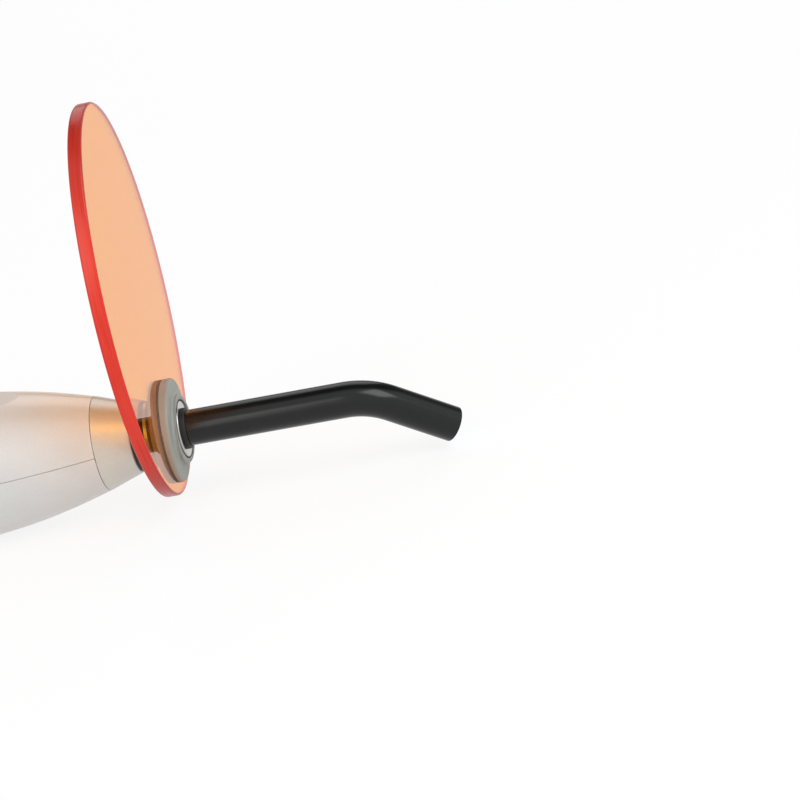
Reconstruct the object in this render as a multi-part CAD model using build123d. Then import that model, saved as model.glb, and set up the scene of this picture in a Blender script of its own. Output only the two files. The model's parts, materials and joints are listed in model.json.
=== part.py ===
"""A cordless dental curing light: a round handle with a metal nose, a plug-in light guide bent near its tip, and an
orange oval eye shield on a rubber grommet.

Every piece is first drawn in the guide's frame: +X runs along the straight part of the light guide towards its tip,
+Z is up, the guide's axis is Y = Z = 0, and X = 0 is the front face of the shield. The pieces are moved to the
part's own frame only when they are written: its origin is the middle of the footprint, on the table.
"""
import math
import os

from build123d import *

# ---------------------------------------------------------------- driving dimensions, in millimetres and degrees
# Light guide
ROD_D = 8.0                 # black outer sheath
SHEATH_T = 0.4              # its wall; the fused fibre bundle fills the rest
ROD_STRAIGHT = 39.0         # from the shield's front face to the start of the bend
BEND_RADIUS = 15.0
BEND_ANGLE = 40.0
TIP_LENGTH = 16.0           # straight end after the bend
GUIDE_TURN = 24.5           # the bend, turned about the guide's axis away from straight down

# Ferrule of the light guide
SPIGOT_D = 12.0
FERRULE_FLANGE_D = 15.0
FERRULE_FLANGE_T = 1.0
NECK_WALL = 0.25
COLLAR_D = 12.6
COLLAR_T = 0.75
LIP_WALL = 0.6
LIP_T = 1.0
ORING_STATIONS = (4.0, 11.0)    # behind the ferrule's flange

# Eye shield and its grommet
SHIELD_HEIGHT = 89.4
SHIELD_WIDTH = 63.4
SHIELD_T = 3.0
SHIELD_RISE = 31.1          # centre of the oval above the guide's axis
SHIELD_EDGE_R = 0.5
GROMMET_D = 23.2
GROMMET_WAIST_D = 13.0
GROMMET_REAR_T = 2.05
GROMMET_TOP_T = 2.1         # the front flange tapers from its top to its bottom
GROMMET_BOTTOM_T = 0.9
GROMMET_EDGE_R = 0.7
HUB_D = 15.4                # raised middle of the front flange
HUB_FRONT_X = 2.8
HUB_TILT = 3.4              # degrees; its face turns towards -Y
HUB_EDGE_R = 0.5
RECESS_GAP = 0.3            # round the ferrule's collar
COLLAR_PROUD = 0.05         # the collar's face, past the hub's

# Nose
NOSE_FACE_X = -8.1          # front face
NOSE_FACE_D = 15.9
NOSE_SEAM_X = -15.9         # where the cone meets the handle
NOSE_SEAM_D = 21.3
NOSE_TAIL_L = 17.2          # spigot inside the handle
NOSE_TAIL_D = 19.2
NOSE_LOCK_T = 1.5           # rib and groove that hold the nose
NOSE_LOCK_DEPTH = 0.9
SLEEVE_L = 15.8
SLEEVE_WALL = 1.15
SEAL_T = 0.6                # black ring on the nose's front face
SEAL_D = 15.4

# Light engine
LENS_T = 2.0
LENS_DOME = 0.9
LED_DOME_D = 3.6
BOARD_DISC_T = 1.0
SINK_L = 13.0
SINK_D = 21.0
SINK_CORE_D = 11.0
SINK_FIN_T = 1.3
SINK_FINS = 4
SINK_FACE_T = 3.0
LED_SCREW = (1.6, 3.0, 1.0)     # shank, head, head's height

# Handle
HANDLE_PROFILE = ((-25.5, 13.2), (-40.0, 15.75), (-58.0, 17.0), (-85.0, 17.35), (-125.0, 17.0))
HANDLE_END_X = -172.0
HANDLE_END_R = 15.2
HANDLE_FRONT_SLOPE = 16.0   # degrees, where the handle leaves the nose
HANDLE_REAR_SLOPE = -3.0
WALL = 2.2
PARTING_GAP = 0.12
PARTING_Z = 0.9             # the shells meet a little above the guide's axis
TOP_FLAT_Z = 14.5
BELLY_FLAT_Z = -16.4
FLAT_EDGE_R = 1.2
PAD_PROUD = 0.4
PAD_T = 0.9
PAD_W = 7.0
PAD_X = (-130.0, -54.0)

# Rear cap
CAP_D = 28.8
CAP_L = 9.0
CAP_PLUG_L = 6.0
CAP_PLUG_WALL = 2.5
CAP_GROOVE_W = 1.4          # groove and rib that hold the cap
CAP_GROOVE_DEPTH = 1.0
CAP_EDGE_R = 2.0
CONTACT_D = 3.0
CONTACT_SPACING = 12.0
CONTACT_POCKET = 0.8

# Controls
PANEL_X = (-100.0, -50.0)
PANEL_W = 15.4
PANEL_T = 0.6
PANEL_PROUD = 0.1
START_X = -62.0
START_SIZE = (15.0, 9.6)
KEY_D = 5.4
KEY_X = -93.2
KEY_Y = 3.8                 # the two small keys sit side by side
KEY_PROUD = 1.1
KEY_TRAVEL = 0.7
KEY_GAP = 0.2               # between a key and its hole
KEY_FLANGE = 0.8            # flange wider than the key, under the shell
KEY_FLANGE_T = 0.8
DISPLAY_X = -78.0
DISPLAY_SIZE = (12.0, 8.4)
INDICATOR_X = -87.0
INDICATOR_D = 1.8
INDICATOR_PITCH = 3.6

# Electronics
PCB_X = (-103.0, -47.5)
PCB_W = 18.0
PCB_T = 1.6
PCB_TOP_Z = 8.0
SWITCH_SIZE = 5.0
SWITCH_H = 2.0
PLUNGER_D = 2.4
PLUNGER_SEAT = 0.5          # how far a plunger starts inside its switch
BOARD_SCREW_X = (-99.9, -50.8)

# Battery
CELL_D = 18.4
CELL_L = 50.0
CELL_FRONT_X = -105.5
CELL_BUTTON = (1.4, 6.0)    # raised contact: height, diameter
CRADLE_WALL = 1.3
CRADLE_FOOT_W = 6.0
LEAF_T = 0.4
LEAF_ROOM = 1.8             # between the cell's end and the cradle's wall

# Fasteners and wires
CASE_SCREW = (2.2, 4.2, 1.5)
BOSS_D = 4.8
BOSS_FLOOR_T = 0.6          # plastic left above a screw's hole
CASE_SCREW_L = 12.0
CASE_HEAD_Z = -7.0          # seat of the case screws' heads
CASE_SCREW_X = (-161.0, -57.0)
CASE_SCREW_Y = 11.6
WIRE_D = 1.2
LED_WIRE_Y = 8.0

# Clearances
RUN = 0.05                  # shaft in a bore, radially
EASE = 0.1                  # between pieces that only lie beside each other
SCREW_ROOM = 0.3            # past a screw's end
BEVEL = 0.3                 # edges of the turned metal pieces

# ---------------------------------------------------------------- places worked out from them
CORE_D = ROD_D - 2 * SHEATH_T
NECK_D = ROD_D + 2 * NECK_WALL
LIP_D = ROD_D + 2 * LIP_WALL
ORING_CORD = (SPIGOT_D - ROD_D) / 4     # its groove leaves half of the spigot's wall
TOP_INNER_Z = TOP_FLAT_Z - WALL
BELLY_INNER_Z = BELLY_FLAT_Z + WALL
FERRULE_SEAT_X = NOSE_FACE_X + SEAL_T + RUN
FERRULE_FRONT_X = FERRULE_SEAT_X + FERRULE_FLANGE_T
SLEEVE_FRONT_X = NOSE_FACE_X - RUN
SLEEVE_BACK_X = SLEEVE_FRONT_X - SLEEVE_L
SLEEVE_D = SPIGOT_D + 2 * RUN + 2 * SLEEVE_WALL
NOSE_BORE_D = SLEEVE_D + 2 * RUN
NECK_END_X = HUB_FRONT_X + COLLAR_PROUD
COLLAR_X = NECK_END_X - COLLAR_T
SOCKET_LIP_T = 1.0
SOCKET_LIP_D = SPIGOT_D - 0.8
LENS_FRONT_X = SLEEVE_BACK_X - RUN - SOCKET_LIP_T - RUN
LENS_BACK_X = LENS_FRONT_X - LENS_DOME - LENS_T
LENS_D = NOSE_BORE_D - 2 * EASE
RETAINER_BORE_D = LENS_D - 2.4
NOSE_END_X = NOSE_SEAM_X - NOSE_TAIL_L
SINK_FRONT_X = NOSE_END_X - BOARD_DISC_T
SINK_BACK_X = SINK_FRONT_X - SINK_L
CAP_FRONT_X = HANDLE_END_X - PARTING_GAP
CAP_FACE_X = CAP_FRONT_X - CAP_L
CAP_PLUG_X = CAP_FRONT_X + CAP_PLUG_L
CAP_PLUG_D = 2 * (TOP_INNER_Z - 3 * EASE)
CAP_GROOVE_X = (CAP_FRONT_X + CAP_PLUG_X) / 2
PCB_BOTTOM_Z = PCB_TOP_Z - PCB_T
BOARD_SCREW_L = TOP_INNER_Z - BOSS_FLOOR_T - SCREW_ROOM - PCB_BOTTOM_Z
CASE_HOLE_Z = CASE_HEAD_Z + CASE_SCREW_L + 1.0
PANEL_MIDDLE = (PANEL_X[0] + PANEL_X[1]) / 2
KEY_FLANGE_Z = TOP_INNER_Z - EASE
LOCK_X = (NOSE_SEAM_X + NOSE_END_X) / 2
PAST_END_X = HANDLE_END_X - 20  # cutting blocks reach past the handle's end
TIP_TAN = BEND_RADIUS * math.tan(math.radians(BEND_ANGLE / 2))
PAD_BOTTOM_Z = BELLY_FLAT_Z - PAD_PROUD
CELL_BACK_X = CELL_FRONT_X - CELL_L
CRADLE_D = CELL_D + 2 * EASE + 2 * CRADLE_WALL
CRADLE_WALL_X = (CELL_BACK_X - LEAF_ROOM, CELL_FRONT_X + LEAF_ROOM)
CELL_Z = CRADLE_D / 2 - (HANDLE_END_R - WALL)

BEND_RAD = math.radians(BEND_ANGLE)
TIP_X = ROD_STRAIGHT + BEND_RADIUS * math.sin(BEND_RAD) + TIP_LENGTH * math.cos(BEND_RAD)
FRONT_X = TIP_X + ROD_D / 2 * math.sin(BEND_RAD)
MIDDLE_X = (FRONT_X + CAP_FACE_X) / 2
TO_TABLE = Pos(-MIDDLE_X, 0, -PAD_BOTTOM_Z)     # the guide's frame to the part's own frame


# ---------------------------------------------------------------- helpers
def turned(points, edge_radius=0.0):
    """A solid of revolution about the guide's axis from (x, radius) corners of its half section."""
    outline = make_face(Polyline(*points, close=True))
    solid = revolve(Plane.XZ * outline, Axis.X)
    if edge_radius:
        solid = fillet(solid.edges().filter_by(GeomType.CIRCLE), edge_radius)
    return solid


def tube(x0, x1, outer_d, inner_d=0.0):
    """A round bar or tube along the guide's axis."""
    bar = Pos((x0 + x1) / 2, 0, 0) * Rot(0, 90, 0) * Cylinder(outer_d / 2, abs(x1 - x0))
    if inner_d:
        bar -= Pos((x0 + x1) / 2, 0, 0) * Rot(0, 90, 0) * Cylinder(inner_d / 2, abs(x1 - x0) + 1)
    return bar


def post(x, y, z0, z1, diameter):
    """An upright round bar."""
    return Pos(x, y, (z0 + z1) / 2) * Cylinder(diameter / 2, abs(z1 - z0))


def block(x0, x1, width, z0, z1, y=0.0):
    """A box centred on y."""
    return Pos((x0 + x1) / 2, y, (z0 + z1) / 2) * Box(abs(x1 - x0), width, abs(z1 - z0))


def slab(outline, x, z0, z1, y=0.0):
    """A flat plate: an outline drawn in plan, raised from z0 to z1."""
    return Pos(x, y, z0) * extrude(outline, z1 - z0)


def pan_screw(head_point, direction, length, size=CASE_SCREW):
    """A pan-head screw: its head's underside is at head_point and its shank runs along direction."""
    shank_d, head_d, head_t = size
    place = Plane(origin=head_point, z_dir=direction)
    shank = place * Pos(0, 0, length / 2) * Cylinder(shank_d / 2, length)
    head = place * Pos(0, 0, -head_t / 2) * Cylinder(head_d / 2, head_t)
    top_edge = head.edges().filter_by(GeomType.CIRCLE).sort_by(Axis(head_point, direction))[0]
    head = fillet(top_edge, head_t / 3)
    slot = place * Pos(0, 0, -head_t) * Box(head_d * 0.7, 0.5, head_t)
    cross = place * Pos(0, 0, -head_t) * Box(0.5, head_d * 0.7, head_t)
    return shank + head - slot - cross


# ---------------------------------------------------------------- light guide
def guide_path():
    """The guide's centreline: back end in the ferrule, straight run, bend, tip."""
    corner_x = ROD_STRAIGHT + TIP_TAN
    reach = TIP_TAN + TIP_LENGTH
    end = (corner_x + reach * math.cos(BEND_RAD), -reach * math.sin(BEND_RAD))
    flat = FilletPolyline((SLEEVE_BACK_X, 0), (corner_x, 0), end, radius=BEND_RADIUS)
    return Rot(GUIDE_TURN, 0, 0) * (Plane.XZ * flat)


def guide_bar(outer_d, inner_d=0.0):
    """A bar or tube that follows the guide's centreline."""
    path = guide_path()
    section = Circle(outer_d / 2)
    if inner_d:
        section -= Circle(inner_d / 2)
    return sweep(Plane(origin=path @ 0, z_dir=path % 0) * section, path=path)


def guide_rod():
    return guide_bar(ROD_D, CORE_D)


def guide_core():
    return guide_bar(CORE_D)


def guide_ferrule():
    spigot, flange, neck = SPIGOT_D / 2, FERRULE_FLANGE_D / 2, NECK_D / 2
    body = turned([
        (SLEEVE_BACK_X, ROD_D / 2), (SLEEVE_BACK_X, spigot - BEVEL), (SLEEVE_BACK_X + BEVEL, spigot),
        (FERRULE_SEAT_X, spigot), (FERRULE_SEAT_X, flange), (FERRULE_FRONT_X - BEVEL, flange),
        (FERRULE_FRONT_X, flange - BEVEL), (FERRULE_FRONT_X, neck), (NECK_END_X, neck), (NECK_END_X, ROD_D / 2),
    ])
    for back in ORING_STATIONS:
        middle = FERRULE_SEAT_X - back
        width = ORING_CORD + 2 * EASE
        body -= tube(middle - width / 2, middle + width / 2, SPIGOT_D + 1, SPIGOT_D - 2 * ORING_CORD)
    return body


def guide_o_rings():
    centre_r = SPIGOT_D / 2 - ORING_CORD / 2
    ring = Rot(0, 90, 0) * Torus(centre_r, ORING_CORD / 2)
    return [Pos(FERRULE_SEAT_X - back, 0, 0) * ring for back in ORING_STATIONS]


def ferrule_collar():
    inner, outer = NECK_D / 2, COLLAR_D / 2
    return turned([(COLLAR_X, inner), (COLLAR_X, outer), (NECK_END_X - BEVEL, outer),
                   (NECK_END_X, outer - BEVEL), (NECK_END_X, inner)])


def rod_lip():
    inner, outer = ROD_D / 2, LIP_D / 2
    end = NECK_END_X + LIP_T
    return turned([(NECK_END_X, inner), (NECK_END_X, outer), (end - BEVEL, outer), (end, outer - BEVEL), (end, inner)])


# ---------------------------------------------------------------- eye shield
def eye_shield():
    oval = Plane.YZ * Pos(0, SHIELD_RISE) * Ellipse(SHIELD_WIDTH / 2, SHIELD_HEIGHT / 2)
    plate = Pos(-SHIELD_T, 0, 0) * extrude(oval, SHIELD_T)
    plate = fillet(plate.edges(), SHIELD_EDGE_R)
    return plate - tube(-SHIELD_T - 1, 1, GROMMET_WAIST_D + 2 * RUN)


def front_flange():
    """The rubber flange in front of the shield: thick at its top, thin at its bottom, with a raised hub."""
    reach = GROMMET_D
    mean_t = (GROMMET_TOP_T + GROMMET_BOTTOM_T) / 2
    rise = (GROMMET_TOP_T - GROMMET_BOTTOM_T) / GROMMET_D * reach
    wedge = Plane.XZ * make_face(Polyline((0, -reach), (mean_t - rise, -reach), (mean_t + rise, reach), (0, reach),
                                          close=True))
    wedge = extrude(wedge, reach, both=True)
    disc = tube(0, HUB_FRONT_X, GROMMET_D) & wedge
    disc = fillet(disc.edges().sort_by(Axis.X)[-1], GROMMET_EDGE_R)
    face = Pos(HUB_FRONT_X, 0, 0) * Rot(0, 0, -HUB_TILT) * block(-reach, 0, 2 * reach, -reach, reach)
    hub = tube(0, reach, HUB_D) & face
    hub = fillet(hub.edges().sort_by(Axis.X)[-1], HUB_EDGE_R)
    recess = tube(COLLAR_X - RUN, reach, COLLAR_D + 2 * RECESS_GAP)
    return disc + hub - recess


def shield_grommet():
    back = tube(-SHIELD_T - GROMMET_REAR_T, -SHIELD_T, GROMMET_D)
    back = fillet(back.edges().filter_by(GeomType.CIRCLE).sort_by(Axis.X)[0], GROMMET_EDGE_R)
    bore = tube(-20, 20, NECK_D + 2 * RUN)
    return back + front_flange() + tube(-SHIELD_T - 1, 1, GROMMET_WAIST_D) - bore


# ---------------------------------------------------------------- nose and light engine
def nose_ring():
    """The metal nose: an outer cone, a bore for the swivel sleeve, and a tail that locks into the handle."""
    bore, tail, groove = NOSE_BORE_D / 2, NOSE_TAIL_D / 2, NOSE_TAIL_D / 2 - NOSE_LOCK_DEPTH
    lip = SOCKET_LIP_D / 2
    lip_front, lip_back = SLEEVE_BACK_X - RUN, SLEEVE_BACK_X - RUN - SOCKET_LIP_T
    groove_front, groove_back = LOCK_X + NOSE_LOCK_T / 2 + EASE, LOCK_X - NOSE_LOCK_T / 2 - EASE
    return turned([
        (NOSE_FACE_X, bore), (NOSE_FACE_X, NOSE_FACE_D / 2), (NOSE_SEAM_X, NOSE_SEAM_D / 2), (NOSE_SEAM_X, tail),
        (groove_front, tail), (groove_front, groove), (groove_back, groove), (groove_back, tail),
        (NOSE_END_X, tail), (NOSE_END_X, bore), (lip_back, bore), (lip_back, lip), (lip_front, lip),
        (lip_front, bore),
    ])


def nose_seal():
    return tube(NOSE_FACE_X, NOSE_FACE_X + SEAL_T, SEAL_D, SPIGOT_D + 2 * RUN)


def swivel_sleeve():
    return tube(SLEEVE_BACK_X, SLEEVE_FRONT_X, SLEEVE_D, SPIGOT_D + 2 * RUN)


def led_lens():
    """A plano-convex lens, its dome towards the light guide."""
    rim_x = LENS_FRONT_X - LENS_DOME
    dome_r = SOCKET_LIP_D / 2 - EASE
    ball_r = (dome_r ** 2 + LENS_DOME ** 2) / (2 * LENS_DOME)
    ball = Pos(LENS_FRONT_X - ball_r, 0, 0) * Sphere(ball_r)
    return tube(rim_x - LENS_T, rim_x, LENS_D) + (ball & tube(rim_x - LENS_T, LENS_FRONT_X + 1, 2 * dome_r))


def lens_retainer():
    return tube(NOSE_END_X, LENS_BACK_X, LENS_D, RETAINER_BORE_D)


def led_emitter():
    """A square ceramic base with a clear dome."""
    base_t = 0.4
    side = LED_DOME_D
    base = block(NOSE_END_X, NOSE_END_X + base_t, side, -side / 2, side / 2)
    ball = Pos(NOSE_END_X + base_t, 0, 0) * Sphere(LED_DOME_D / 2 - 0.5)
    return base + (ball & block(NOSE_END_X + base_t / 2, NOSE_END_X + 5, 20, -10, 10))


def led_screw_places():
    """Sideways places of the two screws, inside the lens retainer."""
    side = RETAINER_BORE_D / 2 - LED_SCREW[1] / 2 - EASE
    return (-side, side)


def led_screws():
    return [pan_screw((NOSE_END_X, y, 0), (-1, 0, 0), 4.0, LED_SCREW) for y in led_screw_places()]


def along(y, x0, x1, diameter):
    """A round bar parallel to the guide's axis."""
    return Pos(0, y, 0) * tube(x0, x1, diameter)


def led_board():
    """A metal-core disc with two screw holes."""
    disc = tube(SINK_FRONT_X, NOSE_END_X, NOSE_TAIL_D)
    return disc - [along(y, SINK_FRONT_X - 1, NOSE_END_X + 1, LED_SCREW[0] + EASE) for y in led_screw_places()]


def heat_sink():
    """A finned bar behind the board, drilled for the screws and notched for the wires."""
    pitch = (SINK_L - SINK_FACE_T - SINK_FIN_T) / (SINK_FINS - 1)
    sink = tube(SINK_BACK_X, SINK_FRONT_X, SINK_CORE_D)
    sink += tube(SINK_FRONT_X - SINK_FACE_T, SINK_FRONT_X, NOSE_TAIL_D)
    for number in range(SINK_FINS):
        x = SINK_BACK_X + number * pitch
        sink += tube(x, x + SINK_FIN_T, SINK_D)
    sink -= [along(y, SINK_FRONT_X - 4.0, SINK_FRONT_X + 1, LED_SCREW[0]) for y in led_screw_places()]
    return sink - [along(y, SINK_BACK_X - 1, SINK_FRONT_X + 1, WIRE_D + 2 * EASE) for y in (-LED_WIRE_Y, LED_WIRE_Y)]


# ---------------------------------------------------------------- handle shells
def handle_profile(inset=0.0, front_x=NOSE_SEAM_X - PARTING_GAP, rear_x=HANDLE_END_X):
    """The turned outline of the handle, closed along the axis, moved inwards by inset."""
    points = [(front_x, NOSE_SEAM_D / 2), *HANDLE_PROFILE, (rear_x, HANDLE_END_R)]
    points = [(x, r - inset) for x, r in points]
    slopes = (math.radians(HANDLE_FRONT_SLOPE), math.radians(HANDLE_REAR_SLOPE))
    tangents = [(-math.cos(slopes[0]), math.sin(slopes[0])), (-math.cos(slopes[1]), math.sin(slopes[1]))]
    side = Spline(*points, tangents=tangents)
    back = Polyline(points[-1], (rear_x, 0), (front_x, 0), points[0])
    return Plane.XZ * make_face(side + back)


def handle_body():
    """The whole outside of the handle, with the flats of the control face and of the belly."""
    body = revolve(handle_profile(), Axis.X)
    return body & block(PAST_END_X, 0, 60, BELLY_FLAT_Z, TOP_FLAT_Z)


def handle_hollow():
    """The space inside the handle."""
    inside = revolve(handle_profile(inset=WALL, front_x=NOSE_SEAM_X - WALL), Axis.X)
    inside = inside & block(HANDLE_END_X - 1, 0, 60, BELLY_INNER_Z, TOP_INNER_Z)
    nose_bore = tube(NOSE_END_X - EASE, NOSE_SEAM_X + 1, NOSE_TAIL_D + 2 * EASE)
    return inside + nose_bore


def lock_rib():
    """The ring inside the handle that fits the groove in the nose's tail."""
    groove_d = NOSE_TAIL_D - 2 * NOSE_LOCK_DEPTH
    return tube(LOCK_X - NOSE_LOCK_T / 2, LOCK_X + NOSE_LOCK_T / 2, NOSE_TAIL_D + 5, groove_d + 2 * EASE)


def sink_rib():
    """The ring inside the handle that steadies the heat sink's last fin."""
    return tube(SINK_BACK_X, SINK_BACK_X + SINK_FIN_T, 2 * HANDLE_END_R, SINK_D + 2 * EASE)


def cap_rib():
    """The ring inside the handle that fits the groove in the cap's plug."""
    half_w = CAP_GROOVE_W / 2
    bore = CAP_PLUG_D - 2 * CAP_GROOVE_DEPTH + 2 * EASE
    return tube(CAP_GROOVE_X - half_w, CAP_GROOVE_X + half_w, 2 * HANDLE_END_R - WALL, bore)


def bosses(sign):
    """The four screw bosses of one shell, from the parting plane to its wall."""
    reach = sign * (HANDLE_END_R + 1)
    return [post(x, y * CASE_SCREW_Y, PARTING_Z, reach, BOSS_D) for x in CASE_SCREW_X for y in (-1, 1)]


def half(sign):
    """The half-space above (+1) or below (-1) the parting plane."""
    edge = PARTING_Z + sign * PARTING_GAP / 2
    return block(PAST_END_X, 0, 60, edge, sign * 40)


def shell(sign):
    """One half of the handle, hollow, with its ribs and bosses."""
    outside = handle_body()
    walls = outside - handle_hollow()
    inner_parts = [piece & outside for piece in (lock_rib(), sink_rib(), cap_rib(), *bosses(sign))]
    return (walls + inner_parts) & half(sign)


def start_outline(grow=0.0):
    """The long button's rounded outline in plan."""
    return SlotOverall(START_SIZE[0] + 2 * grow, START_SIZE[1] + 2 * grow)


def key_outline(grow=0.0):
    return Circle(KEY_D / 2 + grow)


def display_outline(grow=0.0):
    return RectangleRounded(DISPLAY_SIZE[0] + 2 * grow, DISPLAY_SIZE[1] + 2 * grow, 1.2)


KEYS = {        # place of each button's middle, and its outline
    "start": (START_X, 0, start_outline),
    "mode": (KEY_X, KEY_Y, key_outline),
    "timer": (KEY_X, -KEY_Y, key_outline),
}


def indicator_places():
    return [(INDICATOR_X, row * INDICATOR_PITCH) for row in (-1, 0, 1)]


def control_holes(z0, z1):
    """Everything that is cut through the control face."""
    holes = [slab(outline(KEY_GAP), x, z0, z1, y) for x, y, outline in KEYS.values()]
    holes.append(slab(display_outline(EASE), DISPLAY_X, z0, z1))
    return holes + [post(x, y, z0, z1, INDICATOR_D + 2 * RUN) for x, y in indicator_places()]


def panel_outline(grow=0.0):
    return SlotOverall(PANEL_X[1] - PANEL_X[0] + 2 * grow, PANEL_W + 2 * grow)


def upper_shell():
    shank_d = CASE_SCREW[0]
    top = shell(1) + [post(x, 0, PCB_TOP_Z, TOP_INNER_Z + 0.5, BOSS_D) for x in BOARD_SCREW_X]
    top -= slab(panel_outline(EASE), PANEL_MIDDLE, TOP_FLAT_Z + PANEL_PROUD - PANEL_T, TOP_FLAT_Z + 2)
    top -= control_holes(PCB_TOP_Z, TOP_FLAT_Z + 2)
    top -= [post(x, 0, PCB_TOP_Z - 1, TOP_INNER_Z - BOSS_FLOOR_T, shank_d) for x in BOARD_SCREW_X]
    return top - [post(x, y * CASE_SCREW_Y, -1, CASE_HOLE_Z, shank_d) for x in CASE_SCREW_X for y in (-1, 1)]


def lower_shell():
    shank_d, head_d, _ = CASE_SCREW
    bottom = shell(-1)
    for x in CASE_SCREW_X:
        for y in (-CASE_SCREW_Y, CASE_SCREW_Y):
            bottom -= post(x, y, CASE_HEAD_Z - 1, 1, shank_d + 0.2)
            bottom -= post(x, y, CASE_HEAD_Z, -30, head_d + 0.4)
    return bottom - slab(pad_outline(EASE), sum(PAD_X) / 2, BELLY_FLAT_Z - 1, PAD_BOTTOM_Z + PAD_T)


def pad_outline(grow=0.0):
    return SlotOverall(PAD_X[1] - PAD_X[0] + 2 * grow, PAD_W + 2 * grow)


def rest_pad():
    return slab(pad_outline(), sum(PAD_X) / 2, PAD_BOTTOM_Z, PAD_BOTTOM_Z + PAD_T)


def case_screws():
    return [pan_screw((x, y * CASE_SCREW_Y, CASE_HEAD_Z), (0, 0, 1), CASE_SCREW_L) for x in CASE_SCREW_X for y in (-1, 1)]


# ---------------------------------------------------------------- rear cap
def rear_cap():
    """A round cap with a hollow plug, and a pocket round each charging contact."""
    barrel = tube(CAP_FACE_X, CAP_FRONT_X, CAP_D)
    barrel = fillet(barrel.edges().filter_by(GeomType.CIRCLE).sort_by(Axis.X)[0], CAP_EDGE_R)
    half_w = CAP_GROOVE_W / 2 + EASE
    groove = tube(CAP_GROOVE_X - half_w, CAP_GROOVE_X + half_w, CAP_PLUG_D + 1, CAP_PLUG_D - 2 * CAP_GROOVE_DEPTH)
    plug = tube(CAP_FRONT_X, CAP_PLUG_X, CAP_PLUG_D) - groove
    cap = barrel + plug - tube(CAP_FACE_X + 3.0, CAP_PLUG_X + 1, CAP_PLUG_D - 2 * CAP_PLUG_WALL)
    for y in (-CONTACT_SPACING / 2, CONTACT_SPACING / 2):
        cap -= along(y, CAP_FACE_X - 1, CAP_FACE_X + CONTACT_POCKET, CONTACT_D + 2)
        cap -= along(y, CAP_FACE_X - 1, CAP_FACE_X + 6, CONTACT_D)
    return cap


def charge_contacts():
    pins = []
    for y in (-CONTACT_SPACING / 2, CONTACT_SPACING / 2):
        pin = tube(CAP_FACE_X + CONTACT_POCKET / 4, CAP_FACE_X + 6.0, CONTACT_D)
        pin = fillet(pin.edges().filter_by(GeomType.CIRCLE).sort_by(Axis.X)[0], 0.4)
        pins.append(Pos(0, y, 0) * pin)
    return pins


# ---------------------------------------------------------------- controls
def control_panel():
    top = TOP_FLAT_Z + PANEL_PROUD
    return slab(panel_outline(), PANEL_MIDDLE, top - PANEL_T, top) - control_holes(top - 3, top + 3)


def key_cap(name):
    """A button: its cap, and the flange that keeps it under the shell."""
    x, y, outline = KEYS[name]
    bottom = KEY_FLANGE_Z - KEY_FLANGE_T
    cap = slab(outline(), x, bottom, TOP_FLAT_Z + KEY_PROUD, y)
    cap = fillet(cap.edges().group_by(Axis.Z)[-1], 0.6)
    return cap + slab(outline(KEY_FLANGE), x, bottom, KEY_FLANGE_Z, y)


def key_plunger(name):
    """The switch's plunger, which stands under the button."""
    x, y, _ = KEYS[name]
    return post(x, y, PCB_TOP_Z + SWITCH_H - PLUNGER_SEAT, KEY_FLANGE_Z - KEY_FLANGE_T, PLUNGER_D)


def switch_bodies():
    bodies = []
    top = PCB_TOP_Z + SWITCH_H
    for x, y, _ in KEYS.values():
        case = block(x - SWITCH_SIZE / 2, x + SWITCH_SIZE / 2, SWITCH_SIZE, PCB_TOP_Z, top, y)
        well = post(x, y, top - PLUNGER_SEAT - KEY_TRAVEL - EASE, top + 1, PLUNGER_D + 2 * RUN)
        bodies.append(case - well)
    return bodies


def display_window():
    return slab(display_outline(), DISPLAY_X, TOP_INNER_Z, TOP_FLAT_Z + PANEL_PROUD)


def display_module():
    half_l = DISPLAY_SIZE[0] / 2
    return block(DISPLAY_X - half_l, DISPLAY_X + half_l, DISPLAY_SIZE[1], PCB_TOP_Z, TOP_INNER_Z - EASE)


def indicator_pipes():
    return [post(x, y, PCB_TOP_Z + 1.4, TOP_FLAT_Z + PANEL_PROUD + 0.1, INDICATOR_D) for x, y in indicator_places()]


def indicator_leds():
    return [block(x - 0.8, x + 0.8, 1.6, PCB_TOP_Z, PCB_TOP_Z + 1.2, y=y) for x, y in indicator_places()]


# ---------------------------------------------------------------- electronics
def control_board():
    board = block(*PCB_X, PCB_W, PCB_BOTTOM_Z, PCB_TOP_Z)
    return board - [post(x, 0, PCB_BOTTOM_Z - 1, PCB_TOP_Z + 1, CASE_SCREW[0] + 0.2) for x in BOARD_SCREW_X]


def board_screws():
    return [pan_screw((x, 0, PCB_BOTTOM_Z), (0, 0, 1), BOARD_SCREW_L) for x in BOARD_SCREW_X]


def board_chips():
    """Controller, driver and coil on the underside of the board."""
    z = PCB_BOTTOM_Z
    return [
        block(START_X - 15.0, START_X - 8.0, 7.0, z - 1.1, z),
        block(START_X - 5.0, START_X - 0.5, 4.0, z - 1.4, z, y=-4.5),
        block(START_X - 6.0, START_X, 6.0, z - 2.8, z, y=3.5),
    ]


def buzzer():
    return post(DISPLAY_X - 9.0, 0, PCB_BOTTOM_Z - 3.2, PCB_BOTTOM_Z, 9.0)


def wire(*points, bend):
    """A wire along straight runs joined by arcs."""
    route = FilletPolyline(*points, radius=bend)
    return sweep(Plane(origin=route @ 0, z_dir=route % 0) * Circle(WIRE_D / 2), path=route)


def led_wires():
    """Two wires from the light engine's disc, through the heat sink, up to the board."""
    back_x = PCB_X[1] - 2.0
    return [wire((SINK_FRONT_X, y, 0), (back_x, y, 0), (back_x, y, PCB_BOTTOM_Z), bend=1.8)
            for y in (-LED_WIRE_Y, LED_WIRE_Y)]


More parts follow.
